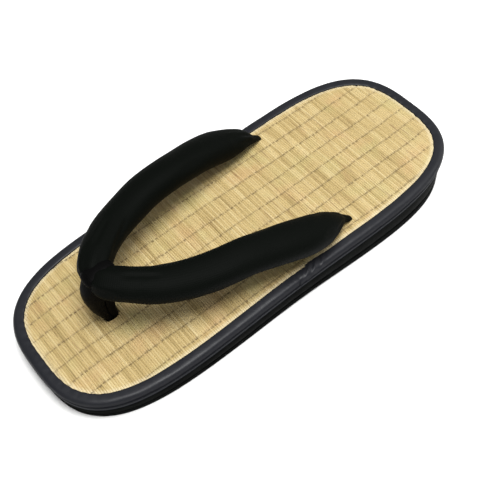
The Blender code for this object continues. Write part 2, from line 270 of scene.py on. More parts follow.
def rushStrawFinish():
    # igusa rush, sun dried and woven: satin straw stems, each its own tone, with greener and redder ones
    finish, tree, shader = newFinish("wovenRushStraw")
    place = addNode(tree, "ShaderNodeTexCoord").outputs["Object"]
    tone = addNode(tree, "ShaderNodeAttribute", attribute_name="reedTone").outputs["Fac"]
    # streaks along a stem: 0.7 mm across, 22 mm long
    stretched = addNode(tree, "ShaderNodeMapping", {"Vector": place, "Scale": (1500, 45, 45)})
    streak = noiseNode(tree, stretched.outputs[0], 1.0, 3.0)
    mixed = addNode(tree, "ShaderNodeMath", {0: streak.outputs["Fac"], 1: 0.54}, operation="MULTIPLY")
    summed = addNode(tree, "ShaderNodeMath", {0: tone, 1: 0.45, 2: mixed.outputs[0]},
                     operation="MULTIPLY_ADD")
    colours = ((0.18, "#7E6A40"), (0.36, "#A08B5A"), (0.50, "#AF9A69"), (0.64, "#B8A576"), (0.90, "#C7B78C"))
    ramp = rampNode(tree, summed.outputs[0], colours)
    # patches of greener and of redder stems, some 20 mm across
    patch = noiseNode(tree, place, 45.0, 2.0)
    greenShare = rangeNode(tree, patch.outputs["Fac"], 0.52, 0.68, 0.35)
    green = tintNode(tree, greenShare.outputs[0], ramp.outputs[0], "#A39C66")
    moved = addNode(tree, "ShaderNodeMapping", {"Vector": place, "Location": (0.4, 0.2, 0)})
    blush = noiseNode(tree, moved.outputs[0], 60.0, 2.0)
    redShare = rangeNode(tree, blush.outputs["Fac"], 0.55, 0.72, 0.30)
    red = tintNode(tree, redShare.outputs[0], green.outputs[2], "#B48C64")
    # single bruised stems: thin brown lines some 15 mm long
    bruise = addNode(tree, "ShaderNodeMapping", {"Vector": place, "Scale": (1100, 60, 60),
                                                  "Location": (3, 7, 0)})
    bruised = noiseNode(tree, bruise.outputs[0], 1.0, 1.0)
    bruiseShare = rangeNode(tree, bruised.outputs["Fac"], 0.62, 0.76, 0.60)
    brown = tintNode(tree, bruiseShare.outputs[0], red.outputs[2], "#7A5D3A")
    # stems get painted shade where they dip under a warp thread
    dip = addNode(tree, "ShaderNodeAttribute", attribute_name="dip").outputs["Fac"]
    dipShadeShare = addNode(tree, "ShaderNodeMath", {0: dip, 1: 0.74}, operation="MULTIPLY", use_clamp=True)
    dipShaded = tintNode(tree, dipShadeShare.outputs[0], brown.outputs[2], "#6B593C")
    # painted highlight: the stems turn paler within 1.8 mm of the mat's edge
    rim = addNode(tree, "ShaderNodeAttribute", attribute_name="edgeGap").outputs["Fac"]
    rimHighlightShare = rangeNode(tree, rim, 0.0018, 0.0004, 0.48)
    rimHighlight = tintNode(tree, rimHighlightShare.outputs[0], dipShaded.outputs[2], "#CBC0A0")
    tree.links.new(rimHighlight.outputs[2], shader.inputs["Base Color"])
    setInputs(shader, {"Roughness": 0.52, "IOR": 1.45, "Sheen Weight": 0.08})
    # fibres of a stem, 0.2 mm apart
    fibre = addNode(tree, "ShaderNodeMapping", {"Vector": place, "Scale": (5000, 250, 5000)})
    grain = noiseNode(tree, fibre.outputs[0], 1.0, 2.0)
    bump = bumpNode(tree, grain.outputs["Fac"], 0.35, 0.00012)
    tree.links.new(bump.outputs[0], shader.inputs["Normal"])
    return finish


def hempWarpFinish():
    # hemp warp yarn of the mat: twisted, dull, darker than the rush
    finish, tree, shader = newFinish("twistedHempWarp")
    place = addNode(tree, "ShaderNodeTexCoord").outputs["Object"]
    grain = noiseNode(tree, place, 1400.0, 2.0)
    ramp = rampNode(tree, grain.outputs["Fac"], ((0.0, "#66573A"), (1.0, "#8C7A50")))
    tree.links.new(ramp.outputs[0], shader.inputs["Base Color"])
    shader.inputs["Roughness"].default_value = 0.85
    return finish


def vinylFinish(name, colour, roughness, specular, grainMm, depth):
    # calendered soft PVC over cloth backing: satin, finely grained, with a clear plasticised skin
    finish, tree, shader = newFinish(name)
    place = addNode(tree, "ShaderNodeTexCoord").outputs["Object"]
    shader.inputs["Base Color"].default_value = linear(colour)
    grain = addNode(tree, "ShaderNodeTexVoronoi", {"Vector": place, "Scale": 1000 / grainMm,
                                                    "Randomness": 1.0})
    cloud = noiseNode(tree, place, 160.0, 3.0)
    rough = rangeNode(tree, cloud.outputs["Fac"], 0.3, 0.7, roughness + 0.08, roughness - 0.05)
    tree.links.new(rough.outputs[0], shader.inputs["Roughness"])
    shader.inputs["IOR"].default_value = 1.53
    # its shine and coat fade out on faces turned downward: painted shade, taking off the floor's reflection
    # where the shoe would shade the floor
    facing = addNode(tree, "ShaderNodeNewGeometry").outputs["Normal"]
    rise = addNode(tree, "ShaderNodeSeparateXYZ", {0: facing}).outputs["Z"]
    shine = rangeNode(tree, rise, 0.0, 0.6, specular)
    tree.links.new(shine.outputs[0], shader.inputs["Specular IOR Level"])
    gloss = rangeNode(tree, rise, 0.2, 0.8, 0.02)
    tree.links.new(gloss.outputs[0], shader.inputs["Coat Weight"])
    shader.inputs["Coat Roughness"].default_value = 0.28
    bump = bumpNode(tree, grain.outputs["Distance"], 0.5, depth)
    soft = bumpNode(tree, cloud.outputs["Fac"], 0.5, 0.0004, bump.outputs[0])
    tree.links.new(soft.outputs[0], shader.inputs["Normal"])
    return finish


def rubberFinish():
    # expanded rubber sheet, die cut and buffed: matt black with a faint grey bloom and fine pores
    finish, tree, shader = newFinish("buffedFoamRubber")
    place = addNode(tree, "ShaderNodeTexCoord").outputs["Object"]
    cloud = noiseNode(tree, place, 90.0, 4.0)
    ramp = rampNode(tree, cloud.outputs["Fac"], ((0.35, "#050605"), (0.70, "#0C0E0C")))
    tree.links.new(ramp.outputs[0], shader.inputs["Base Color"])
    setInputs(shader, {"Roughness": 0.62, "IOR": 1.5, "Specular IOR Level": 0.012})
    # buffing marks run round the wall, 0.5 mm apart in height
    level = addNode(tree, "ShaderNodeMapping", {"Vector": place, "Scale": (60, 60, 2000)})
    buffed = noiseNode(tree, level.outputs[0], 1.0, 2.0)
    pores = noiseNode(tree, place, 2200.0, 2.0)
    first = bumpNode(tree, buffed.outputs["Fac"], 0.5, 0.00018)
    second = bumpNode(tree, pores.outputs["Fac"], 0.5, 0.00015, first.outputs[0])
    tree.links.new(second.outputs[0], shader.inputs["Normal"])
    return finish


def stretchClothFinish(name, colour, sheenColour, sheen, roughness, threadMm):
    # knitted stretch velour over foam: matt black, a soft grey bloom where it turns from the eye;
    # its rows are drawn at threadMm, coarser than life, so that they show
    finish, tree, shader = newFinish(name)
    setInputs(shader, {"Base Color": linear(colour), "Roughness": roughness, "IOR": 1.45,
                       "Specular IOR Level": 0.04, "Sheen Weight": sheen, "Sheen Roughness": 0.45,
                       "Sheen Tint": linear(sheenColour)})
    onCloth = addNode(tree, "ShaderNodeUVMap", uv_map="clothMap").outputs[0]
    place = addNode(tree, "ShaderNodeTexCoord").outputs["Object"]
    perMetre = 1000 / threadMm
    scaled = addNode(tree, "ShaderNodeMapping", {"Vector": onCloth, "Scale": (perMetre, perMetre, 1)})
    waves = []
    for way in ("X", "Y"):
        wave = addNode(tree, "ShaderNodeTexWave", {"Vector": scaled.outputs[0], "Scale": 0.314,
                                                   "Distortion": 0.6}, bands_direction=way)
        waves.append(wave.outputs["Fac"])
    knit = addNode(tree, "ShaderNodeMath", {0: waves[0], 1: waves[1]}, operation="MULTIPLY")
    fuzz = noiseNode(tree, place, 900.0, 3.0)
    first = bumpNode(tree, knit.outputs[0], 0.4, 0.00012)
    second = bumpNode(tree, fuzz.outputs["Fac"], 0.35, 0.0002, first.outputs[0])
    tree.links.new(second.outputs[0], shader.inputs["Normal"])
    return finish


def boardFinish():
    # pressed fibre board, dyed through: dull black-brown, only its hole walls can be seen
    finish, tree, shader = newFinish("pressedFibreBoard")
    place = addNode(tree, "ShaderNodeTexCoord").outputs["Object"]
    grain = noiseNode(tree, place, 700.0, 3.0)
    ramp = rampNode(tree, grain.outputs["Fac"], ((0.0, "#1B1815"), (1.0, "#3A332B")))
    tree.links.new(ramp.outputs[0], shader.inputs["Base Color"])
    shader.inputs["Roughness"].default_value = 0.9
    return finish


# the camera, at the photograph's place over the sandal

cameraPlan = {"place": (0.1461, 0.2124, 0.35725), "aim": (0.0045, 0.0145, 0.01455),
              "up": (-0.5365, -0.6284, 0.5632), "lens": 59.0, "sensor": 36.0}


def placeCamera(plan):
    lensData = bpy.data.cameras.new("camera")
    lensData.lens = plan["lens"]
    lensData.sensor_width = plan["sensor"]
    lensData.clip_start = 0.01
    camera = bpy.data.objects.new("camera", lensData)
    place = Vector(plan["place"])
    back = (place - Vector(plan["aim"])).normalized()
    right = Vector(plan["up"]).cross(back).normalized()
    up = back.cross(right)
    turn = Matrix((right, up, back)).transposed().to_4x4()
    camera.matrix_world = Matrix.Translation(place) @ turn
    scene.collection.objects.link(camera)
    scene.camera = camera


placeCamera(cameraPlan)
print("camera placed")


# the mat's stems and warp, grown along drawn lines

rushMat = {
    "reedPitch": 0.00118, "reedRadius": 0.00084, "reedSink": 0.00076, "warpSpacing": 0.0100,
    "deepDip": 0.00034, "shallowDip": 0.00014, "dipHalfWidth": 0.0008, "waver": 0.00016,
    "dipShift": 0.0006, "drift": 0.0050, "warpRadius": 0.00017, "warpSink": 0.00029,
    "edgeDrop": 0.00016, "edgeRun": 0.0022, "overhang": 0.0007, "backingSink": 0.00090, "seed": 11,
}
# the holes that the thong and the tails go down: middle and half sizes
matHoles = ((0.0810, 0.0, 0.0043, 0.0046), (-0.0442, 0.03675, 0.0010, 0.0011),
            (-0.0442, -0.03675, 0.0010, 0.0011))


def stemTree(material):
    # grows round stems along edges that run across the mat, dipping at each warp thread by turns
    tree = bpy.data.node_groups.new("growStems", "GeometryNodeTree")
    kinds = (("NodeSocketGeometry", ("Geometry",)),
             ("NodeSocketFloat", ("Stem Radius", "Warp Spacing", "Deep Dip", "Shallow Dip", "Dip Half Width",
                                  "Dip Shift", "Drift", "Follow", "Waver")),
             ("NodeSocketInt", ("Seed", "Sides")))
    for kind, names in kinds:
        for name in names:
            tree.interface.new_socket(name, in_out="INPUT", socket_type=kind)
    tree.interface.new_socket("Geometry", in_out="OUTPUT", socket_type="NodeSocketGeometry")
    given = addNode(tree, "NodeGroupInput").outputs
    row = addNode(tree, "GeometryNodeInputNamedAttribute", {"Name": "reedRow"}, data_type="INT").outputs[0]
    spot = addNode(tree, "GeometryNodeInputPosition").outputs[0]
    split = addNode(tree, "ShaderNodeSeparateXYZ", {0: spot}).outputs

    def maths(operation, a, b=None):
        links = {0: a}
        if b is not None:
            links[1] = b
        return addNode(tree, "ShaderNodeMath", links, operation=operation).outputs[0]

    def chance(low, high, identity, seed):
        return addNode(tree, "FunctionNodeRandomValue", {2: low, 3: high, "ID": identity, "Seed": seed},
                       data_type="FLOAT").outputs[1]

    # the warp wanders sideways by up to a millimetre over some 60 mm
    slow = noiseNode(tree, spot, 16.0, 1.0)
    drift = maths("MULTIPLY", maths("SUBTRACT", slow.outputs["Fac"], 0.5), given["Drift"])
    cell = maths("DIVIDE", maths("ADD", split["Y"], drift), given["Warp Spacing"])
    nearest = maths("ROUND", cell)
    straight = maths("MULTIPLY", maths("SUBTRACT", cell, nearest), given["Warp Spacing"])
    crossing = maths("ADD", maths("MULTIPLY", row, 17.0), maths("MULTIPLY", nearest, 4001.0))
    slip = chance(-0.5, 0.5, crossing, given["Seed"])
    grip = chance(0.50, 1.20, crossing, 5)
    away = maths("ADD", straight, maths("MULTIPLY", slip, given["Dip Shift"]))
    ratio = maths("DIVIDE", away, given["Dip Half Width"])
    squared = maths("MULTIPLY", ratio, ratio)
    pressed = maths("MULTIPLY", grip, maths("EXPONENT", maths("MULTIPLY", squared, -1.0)))
    turnAbout = maths("FLOORED_MODULO", maths("ADD", row, nearest), 2.0)
    extra = maths("MULTIPLY", turnAbout, maths("SUBTRACT", given["Deep Dip"], given["Shallow Dip"]))
    depth = maths("MULTIPLY", pressed, maths("ADD", extra, given["Shallow Dip"]))
    quick = noiseNode(tree, spot, 130.0, 1.0)
    wobble = addNode(tree, "ShaderNodeVectorMath", {0: quick.outputs["Color"], 1: (0.5, 0.5, 0.5)},
                     operation="SUBTRACT")
    wander = addNode(tree, "ShaderNodeVectorMath", {0: wobble.outputs[0], "Scale": given["Waver"]},
                     operation="SCALE")
    parts = addNode(tree, "ShaderNodeSeparateXYZ", {0: wander.outputs[0]}).outputs
    followed = maths("MULTIPLY", drift, given["Follow"])
    shift = addNode(tree, "ShaderNodeCombineXYZ", {"X": parts["X"], "Y": followed,
                                                   "Z": maths("SUBTRACT", parts["Z"], depth)})
    moved = addNode(tree, "GeometryNodeSetPosition", {"Geometry": given["Geometry"],
                                                      "Offset": shift.outputs[0]})
    # the dip, squared to a narrower line, is kept as the share of painted shade on the stem's colour
    narrow = maths("MULTIPLY", pressed, pressed)
    paintedDipShade = maths("MULTIPLY", narrow, maths("ADD", maths("MULTIPLY", turnAbout, 0.35), 0.65))
    withDip = addNode(tree, "GeometryNodeStoreNamedAttribute",
                      {"Geometry": moved.outputs[0], "Name": "dip", "Value": paintedDipShade}, data_type="FLOAT")
    # a stem's own tone, and its tone between two warp threads
    tone = chance(0.0, 0.38, row, given["Seed"])
    field = maths("FLOOR", cell)
    fieldId = maths("ADD", maths("MULTIPLY", row, 29.0), maths("MULTIPLY", field, 5003.0))
    fieldTone = chance(0.0, 0.32, fieldId, 3)
    # bunches of three or so stems, beaten up together, share a tone
    bunch = maths("FLOOR", maths("DIVIDE", maths("ADD", row, maths("MULTIPLY", field, 1.7)), 3.4))
    bunchId = maths("ADD", maths("MULTIPLY", bunch, 31.0), maths("MULTIPLY", field, 7001.0))
    bunchTone = chance(0.0, 0.30, bunchId, 8)
    toneSum = maths("ADD", maths("ADD", tone, fieldTone), bunchTone)
    withTone = addNode(tree, "GeometryNodeStoreNamedAttribute",
                       {"Geometry": withDip.outputs[0], "Name": "reedTone", "Value": toneSum},
                       data_type="FLOAT")
    line = addNode(tree, "GeometryNodeMeshToCurve", {0: withTone.outputs[0]})
    girth = chance(0.86, 1.08, row, given["Seed"])
    sized = addNode(tree, "GeometryNodeSetCurveRadius", {0: line.outputs[0], "Radius": girth})
    ring = addNode(tree, "GeometryNodeCurvePrimitiveCircle", {"Resolution": given["Sides"],
                                                             "Radius": given["Stem Radius"]})
    skin = addNode(tree, "GeometryNodeCurveToMesh", {0: sized.outputs[0], 1: ring.outputs[0],
                                                    "Fill Caps": True})
    if "Scale" in skin.inputs:
        tree.links.new(addNode(tree, "GeometryNodeInputRadius").outputs[0], skin.inputs["Scale"])
    smooth = addNode(tree, "GeometryNodeSetShadeSmooth", {0: skin.outputs[0]})
    real = addNode(tree, "GeometryNodeRealizeInstances", {0: smooth.outputs[0]})
    dressed = addNode(tree, "GeometryNodeSetMaterial", {0: real.outputs[0], "Material": material})
    addNode(tree, "NodeGroupOutput", {0: dressed.outputs[0]})
    return tree


def drawnLines(name, lines):
    # an object of plain edges, with the row number and the distance from the mat's edge on each point
    points = []
    edges = []
    rows = []
    gaps = []
    for row, line in lines:
        for k, p in enumerate(line):
            if k:
                edges.append((len(points) - 1, len(points)))
            points.append(p)
            rows.append(row)
            gaps.append(edgeDistance(p[0], p[1]))
    mesh = bpy.data.meshes.new(name)
    mesh.from_pydata(points, edges, [])
    mesh.attributes.new("reedRow", "INT", "POINT").data.foreach_set("value", rows)
    mesh.attributes.new("edgeGap", "FLOAT", "POINT").data.foreach_set("value", gaps)
    piece = bpy.data.objects.new(name, mesh)
    scene.collection.objects.link(piece)
    return piece


def stemStations(low, high):
    # points across the mat, closer together where the stem dips
    spacing = rushMat["warpSpacing"]
    spots = {low, high}
    for k in range(math.floor(low / spacing) - 1, math.ceil(high / spacing) + 2):
        for step in (0, 0.07, 0.15, 0.26, 0.74, 0.85, 0.93):
            y = (k + step) * spacing
            if low < y < high:
                spots.add(y)
    for inset in (0.0009, 0.0020):
        spots.add(low + inset)
        spots.add(high - inset)
    return sorted(s for s in spots if low <= s <= high)


def onMat(x, y, sink):
    drop = min(1.5, max(0.0, 1 - edgeDistance(x, y) / rushMat["edgeRun"]))
    return (x, y, deckHeight(x) - sink - rushMat["edgeDrop"] * drop ** 2)


def openSpans(x, low, high):
    # the stretches of a stem at x that no hole takes away
    spans = [(low, high)]
    for middleX, middleY, halfX, halfY in matHoles:
        if abs(x - middleX) < halfX:
            reach = halfY * (1 - (abs(x - middleX) / halfX) ** 3) ** (1 / 3)
            cut = (middleY - reach, middleY + reach)
            kept = []
            for a, b in spans:
                if cut[0] > a:
                    kept.append((a, min(b, cut[0])))
                if cut[1] < b:
                    kept.append((max(a, cut[1]), b))
            spans = [s for s in kept if s[1] - s[0] > 0.001]
    return spans


def makeRushMat():
    straw = rushStrawFinish()
    hemp = hempWarpFinish()
    pitch = rushMat["reedPitch"]
    reach = sandal["halfLength"] + rushMat["overhang"]
    count = int(2 * reach / pitch)
    lines = []
    for row in range(count):
        x = (row + 0.5 - count / 2) * pitch
        # as long as the mat is wide on the stem's inner side, so no corner of an end shows
        innerX = math.copysign(max(0.0, abs(x) - 0.6 * pitch), x)
        wide = halfWidth(innerX, rushMat["overhang"])
        for low, high in openSpans(x, -wide, wide):
            lines.append((row, [onMat(x, y, rushMat["reedSink"]) for y in stemStations(low, high)]))
    values = {"Stem Radius": rushMat["reedRadius"], "Warp Spacing": rushMat["warpSpacing"],
              "Deep Dip": rushMat["deepDip"], "Shallow Dip": rushMat["shallowDip"],
              "Dip Half Width": rushMat["dipHalfWidth"], "Dip Shift": rushMat["dipShift"],
              "Waver": rushMat["waver"], "Drift": rushMat["drift"], "Follow": 0.0,
              "Seed": rushMat["seed"], "Sides": 6}
    stems = bakeNodes(drawnLines("rushStems", lines), stemTree(straw), values)
    threads = []
    for k in range(-4, 5):
        y = k * rushMat["warpSpacing"]
        ends = [x / 1000 for x in range(-117, 118, 3)
                if halfWidth(x / 1000) > abs(y) + 0.0008]
        spots = [x for x in ends
                 if not any(abs(x - hx) < hw and abs(y - hy) < hh for hx, hy, hw, hh in matHoles)]
        threads.append((k, [onMat(x, y, rushMat["warpSink"]) for x in spots]))
    values.update({"Stem Radius": rushMat["warpRadius"], "Deep Dip": 0.0, "Shallow Dip": 0.0,
                   "Follow": -1.0, "Sides": 5})
    warp = bakeNodes(drawnLines("warpThreads", threads), stemTree(hemp), values)
    sink = rushMat["backingSink"]
    backing = stackLoops("rushBacking", [(0, lambda x: deckHeight(x) - sandal["matThick"]),
                                         (0, lambda x: deckHeight(x) - sink)])
    backing.data.materials.append(hemp)
    for piece in (stems, warp, backing):
        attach(piece, "root")
        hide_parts("rush_mat")
    print("mat:", len(lines), "stems,", len(stems.data.polygons), "faces")


makeRushMat()


# the rolled tape round the edge

edgeTape = {
    "reach": 0.0063, "proud": 0.0005, "power": 2.5, "lipPower": 3.0, "sides": 30,
    "lapX": -0.0107, "lapOver": 0.0070,
    "lapLean": 0.0046, "lapThick": 0.00038, "unevenDepth": 0.00010, "unevenRun": 0.011,
    "puckerDepth": 0.00006, "puckerPitch": 0.0046,
    # soft troughs and ridges, listed one by one: distance from the lap along the tape, lean, width, height
    "crumple": ((0.0012, 0.9, 0.0010, 0.00042), (0.0034, 1.2, 0.0009, -0.00040),
                (0.0056, 0.8, 0.0012, 0.00038), (-0.0030, 0.6, 0.0011, -0.00026),
                (0.0078, 1.5, 0.0010, -0.00030), (0.0100, 1.1, 0.0011, 0.00030),
                (0.0132, 0.4, 0.0018, -0.00016)),
}


def tapeRings(stations, lapSign):
    # stations: (place along the outline, distance from this tape's own end, distance past the lap)
    plan = edgeTape
    bottom = -(sandal["matThick"] + sandal["gap"] + sandal["insoleThick"])
    halfHeight = (plan["proud"] - bottom) / 2
    halfReach = (plan["reach"] - sandal["gap"]) / 2
    count = len(outline)
    step = outlineLength / count
    rings = []
    for along, fromEnd in stations:
        ring = []
        for i in range(plan["sides"]):
            angle = 2 * math.pi * (i + 0.5) / plan["sides"]
            power = plan["power"] + plan["lipPower"] * smoothStep(0.0, 0.6, -math.cos(angle))
            across = signedPower(math.cos(angle), 2 / power)
            rise = signedPower(math.sin(angle), 2 / power)
            # the top tape's end is cut on the slant
            near = max(0.0, 1 - fromEnd / 0.02)
            s = along + lapSign * (plan["lapLean"] * across * near if lapSign else 0)
            k = s / step
            low = int(math.floor(k))
            (p, n), (q, m) = outline[low % count], outline[(low + 1) % count]
            share = k - low
            spot = p.lerp(q, share)
            out = n.lerp(m, share).normalized()
            lump = Vector((s / plan["unevenRun"], across * 1.5, rise * 1.5))
            swell = plan["unevenDepth"] * noise.noise(lump)
            # puckers on the inner top where the tape goes round the corners
            bend = 1 - abs(out.y) ** 6
            inner = max(0.0, 0.4 - across) * max(0.0, rise + 0.2)
            phase = 2 * math.pi * s / plan["puckerPitch"] + 2.2 * noise.noise(Vector((s / 0.015, 3.1, 0)))
            swell += plan["puckerDepth"] * bend * inner * math.sin(phase)
            # the fore tape goes under the heel tape at the lap
            if lapSign:
                swell += plan["lapThick"] * (1 - smoothStep(0.004, 0.016, fromEnd))
                for place, lean, width, height in plan["crumple"]:
                    fold = bell(fromEnd - place - 0.0022 * lean * rise, width)
                    swell += height * fold * max(0.0, 0.75 - 0.6 * across * across)
            else:
                swell -= 0.6 * plan["lapThick"] * (1 - smoothStep(0.004, 0.009, fromEnd))
                swell -= 0.00020 * bell(fromEnd - 0.0090 - 0.0015 * rise, 0.0010)
            place = spot + out * (sandal["gap"] + halfReach + (halfReach + swell) * across)
            height = deckHeight(place.x) + bottom + halfHeight + (halfHeight + swell) * rise
            ring.append((place.x, place.y, height))
        rings.append(ring)
    return rings


def makeEdgeTape():
    finish = vinylFinish("calenderedVinylTape", "#1B1C20", 0.42, 0.17, 0.7, 0.00006)
    count = len(outline)
    step = outlineLength / count
    leftLap = next(i for i, (p, n) in enumerate(outline) if p.x < edgeTape["lapX"]) * step
    rightLap = outlineLength - leftLap
    over = edgeTape["lapOver"]
    # fore length from the right lap round the toe to the left lap, heel length back round the heel
    foreStart, foreEnd = rightLap - outlineLength, leftLap
    heelStart, heelEnd = leftLap - over, rightLap + over
    for name, node, start, end, top in (("foreTape", "binding_fore", foreStart, foreEnd, False),
                                        ("heelTape", "binding_heel", heelStart, heelEnd, True)):
        spots = [start + (end - start) * i / 330 for i in range(331)]
        for cut in range(1, 16):
            spots += [start + cut * 0.0009, end - cut * 0.0009]
        spots = sorted(set(spots))
        rings = []
        for s in spots:
            fromEnd = min(s - start, end - s)
            nearLeft = (s - start < end - s) == top
            sign = (-1 if nearLeft else 1) if top else 0
            rings += tapeRings([(s, fromEnd)], sign)
        piece = loftRings(name, rings, sharpDegrees=70)
        piece.data.materials.append(finish)
        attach(piece, "root")
        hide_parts(node)
    print("edge tape made")


makeEdgeTape()


# midsole line and outsole

soleLayers = {
    "midsoleReach": 0.0057, "outsoleReach": 0.0050, "toeSpring": 0.0009, "toeSpringRun": 0.026,
    "archRise": 0.0008, "archMiddle": -0.006, "archRun": 0.040, "heelRoll": 0.0010, "heelRollRun": 0.012,
    # wall from the ground up: share of its height and how far it is set in
    "wall": ((0.00, 0.0006), (0.02, 0.0003), (0.05, 0.0001), (0.10, 0.0), (0.16, 0.0), (0.32, 0.0),
             (0.345, 0.0002), (0.36, 0.0005), (0.42, 0.0005), (0.435, 0.0002), (0.46, 0.0), (0.70, 0.0),
             (0.92, 0.0), (0.97, 0.0002), (1.0, 0.0006)),
    "treadGroove": 0.0024, "treadDepth": 0.0012, "treadPitch": 0.0105, "treadMargin": 0.0070,
    "treadFrom": ((0.028, 6), (-0.098, 5)),
}


def groundHeight(x):
    plan = soleLayers
    half = sandal["halfLength"] + plan["outsoleReach"]
    spring = max(0.0, (x - half + plan["toeSpringRun"]) / plan["toeSpringRun"])
    roll = max(0.0, (-x - half + plan["heelRollRun"]) / plan["heelRollRun"])
    arch = max(0.0, 1 - ((x - plan["archMiddle"]) / plan["archRun"]) ** 2)
    return plan["toeSpring"] * spring ** 2 + plan["heelRoll"] * roll ** 2 + plan["archRise"] * arch ** 2


def makeSoleLayers():
    plan = soleLayers
    midTop = sandal["matThick"] + sandal["insoleThick"] + 2 * sandal["gap"]
    edge = sandal["midsoleThick"] / 2
    rows = []
    for degrees in (-80, -65, -45, -25, -8, 8, 25, 45, 65, 80):
        turn = math.radians(degrees)
        drop = midTop + edge - edge * math.sin(turn) / math.sin(math.radians(80))
        rows.append((plan["midsoleReach"] - edge * (1 - math.cos(turn)), lambda x, d=drop: deckHeight(x) - d))
    midsole = stackLoops("midsoleWelt", rows, 60)
    midsole.data.materials.append(vinylFinish("buffedVinylWelt", "#1E2025", 0.40, 0.34, 1.2, 0.00003))
    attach(midsole, "root")
    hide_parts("midsole")
    outTop = midTop + sandal["midsoleThick"] + sandal["gap"]
    rows = [(plan["outsoleReach"] - inset,
             lambda x, share=share: groundHeight(x) * (1 - share) + (deckHeight(x) - outTop) * share)
            for share, inset in plan["wall"]]
    outsole = stackLoops("outsoleBlock", rows, 40)
    outsole.data.materials.append(rubberFinish())
    boxes = bmesh.new()
    for start, count in plan["treadFrom"]:
        for k in range(count):
            x = start + k * plan["treadPitch"]
            side = min(halfWidth(end, plan["outsoleReach"]) for end in (x, x + plan["treadGroove"]))
            size = Vector((plan["treadGroove"], 2 * (side - plan["treadMargin"]), 2 * plan["treadDepth"]))
            middle = Vector((x + plan["treadGroove"] / 2, 0, 0))
            cube = bmesh.ops.create_cube(boxes, size=1.0)
            for corner in cube["verts"]:
                corner.co = Vector(a * b for a, b in zip(corner.co, size)) + middle
    cutterMesh = bpy.data.meshes.new("treadCutter")
    boxes.to_mesh(cutterMesh)
    boxes.free()
    cutter = bpy.data.objects.new("treadCutter", cutterMesh)
    scene.collection.objects.link(cutter)
    carve = outsole.modifiers.new("tread", "BOOLEAN")
    carve.solver = "EXACT"
    carve.object = cutter
    outsole.data = shapedMesh(outsole)
    outsole.modifiers.clear()
    bpy.data.objects.remove(cutter)
    outsole.data.set_sharp_from_angle(angle=math.radians(40))
    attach(outsole, "root")
    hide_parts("outsole")
    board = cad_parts["insole"]
    board.data.materials.clear()
    board.data.materials.append(boardFinish())
    print("sole layers made")


makeSoleLayers()


# padded straps

strapPads = {
    "tailX": -0.0435, "tailY": 0.03675, "lift": 0.0250, "width": 0.0202, "thick": 0.0158,
    "tilt": math.radians(9), "power": 2.3, "tailWidth": 0.0046, "tailThick": 0.0034, "tailBend": 0.0035,
    "tipX": -0.0442, "tipWide": 0.0015,
    "endX": 0.0844, "sides": 36, "steps": 5,
    "pressure": 14.0, "slimmer": 0.0003, "moveCap": 0.0009,
    # run from the rear hole to the front, out, lift, width and thickness, as shares
    "rows": (
        (0.042, 0.985, 0.08, 0.28, 0.26), (0.078, 0.995, 0.12, 0.49, 0.52), (0.124, 1.010, 0.13, 0.75, 0.79),
        (0.178, 1.026, 0.15, 0.94, 0.98), (0.247, 1.024, 0.25, 1.03, 1.04), (0.325, 0.992, 0.39, 1.04, 1.02),
        (0.410, 0.944, 0.51, 1.02, 1.00), (0.502, 0.891, 0.62, 1.00, 1.00), (0.611, 0.829, 0.68, 1.00, 1.00),
        (0.711, 0.721, 0.72, 0.98, 0.98), (0.804, 0.585, 0.80, 0.95, 0.95), (0.881, 0.415, 0.88, 0.91, 0.94),
        (0.934, 0.250, 0.92, 0.85, 0.94), (0.970, 0.120, 0.95, 0.72, 0.86), (0.990, 0.045, 1.02, 0.48, 0.62),
        (1.000, 0.000, 1.15, 0.15, 0.23)),
    # creases pressed in one by one: start, end (left strap), width, depth; a ridge stands beside each
    "creases": (((0.060, 0.0215, 0.058), (0.074, 0.0110, 0.055), 0.0014, 0.00050),
                ((0.066, 0.0240, 0.047), (0.078, 0.0120, 0.046), 0.0013, 0.00045),
                ((0.052, 0.0180, 0.050), (0.069, 0.0050, 0.050), 0.0012, 0.00045),
                ((-0.036, 0.0400, 0.030), (-0.017, 0.0440, 0.037), 0.0013, 0.00055),
                ((-0.036, 0.0350, 0.030), (-0.020, 0.0345, 0.036), 0.0012, 0.00045),
                ((0.000, 0.0290, 0.044), (0.014, 0.0270, 0.047), 0.0016, 0.00030),
                ((0.028, 0.0400, 0.043), (0.046, 0.0350, 0.044), 0.0018, 0.00030)),
}


def padReach(width, thick, tilt):
    dual = strapPads["power"] / (strapPads["power"] - 1)
    lean = (width / 2 * math.sin(tilt)) ** dual
    return (lean + (thick / 2 * math.cos(tilt)) ** dual) ** (1 / dual)


def strapStations():
    plan = strapPads
    gap = sandal["gap"]
    tailRise = 2 * gap + plan["tailThick"] / 2
    foot = gap - sandal["matThick"] - sandal["insoleThick"]
    rows = []
    # the tail narrows to a point where it goes down into the mat
    for height in (foot, (foot + tailRise - plan["tailBend"]) / 2):
        rows.append((plan["tipX"], plan["tailY"], height, plan["tipWide"], plan["tipWide"], 0, 0))
    for degrees in (0, 35, 70):
        turn = math.radians(degrees)
        share = degrees / 90
        x = plan["tipX"] + plan["tailBend"] * (1 - math.cos(turn))
        rows.append((x, plan["tailY"], tailRise - plan["tailBend"] * (1 - math.sin(turn)),
                     plan["tipWide"] + share * (plan["tailWidth"] - plan["tipWide"]),
                     plan["tipWide"] + share * (plan["tailThick"] - plan["tipWide"]), 0, 0))
    for run, out, lift, wide, thick in plan["rows"]:
        width, deep = wide * plan["width"], thick * plan["thick"]
        tilt = plan["tilt"] * wide * math.sin(math.pi * run)
        rise = 2 * gap + padReach(width, deep, tilt) + lift * plan["lift"]
        rows.append((plan["tailX"] + run * (plan["endX"] - plan["tailX"]), out * plan["tailY"], rise,
                     width, deep, tilt, run))
    return smoothRows(rows, plan["steps"])


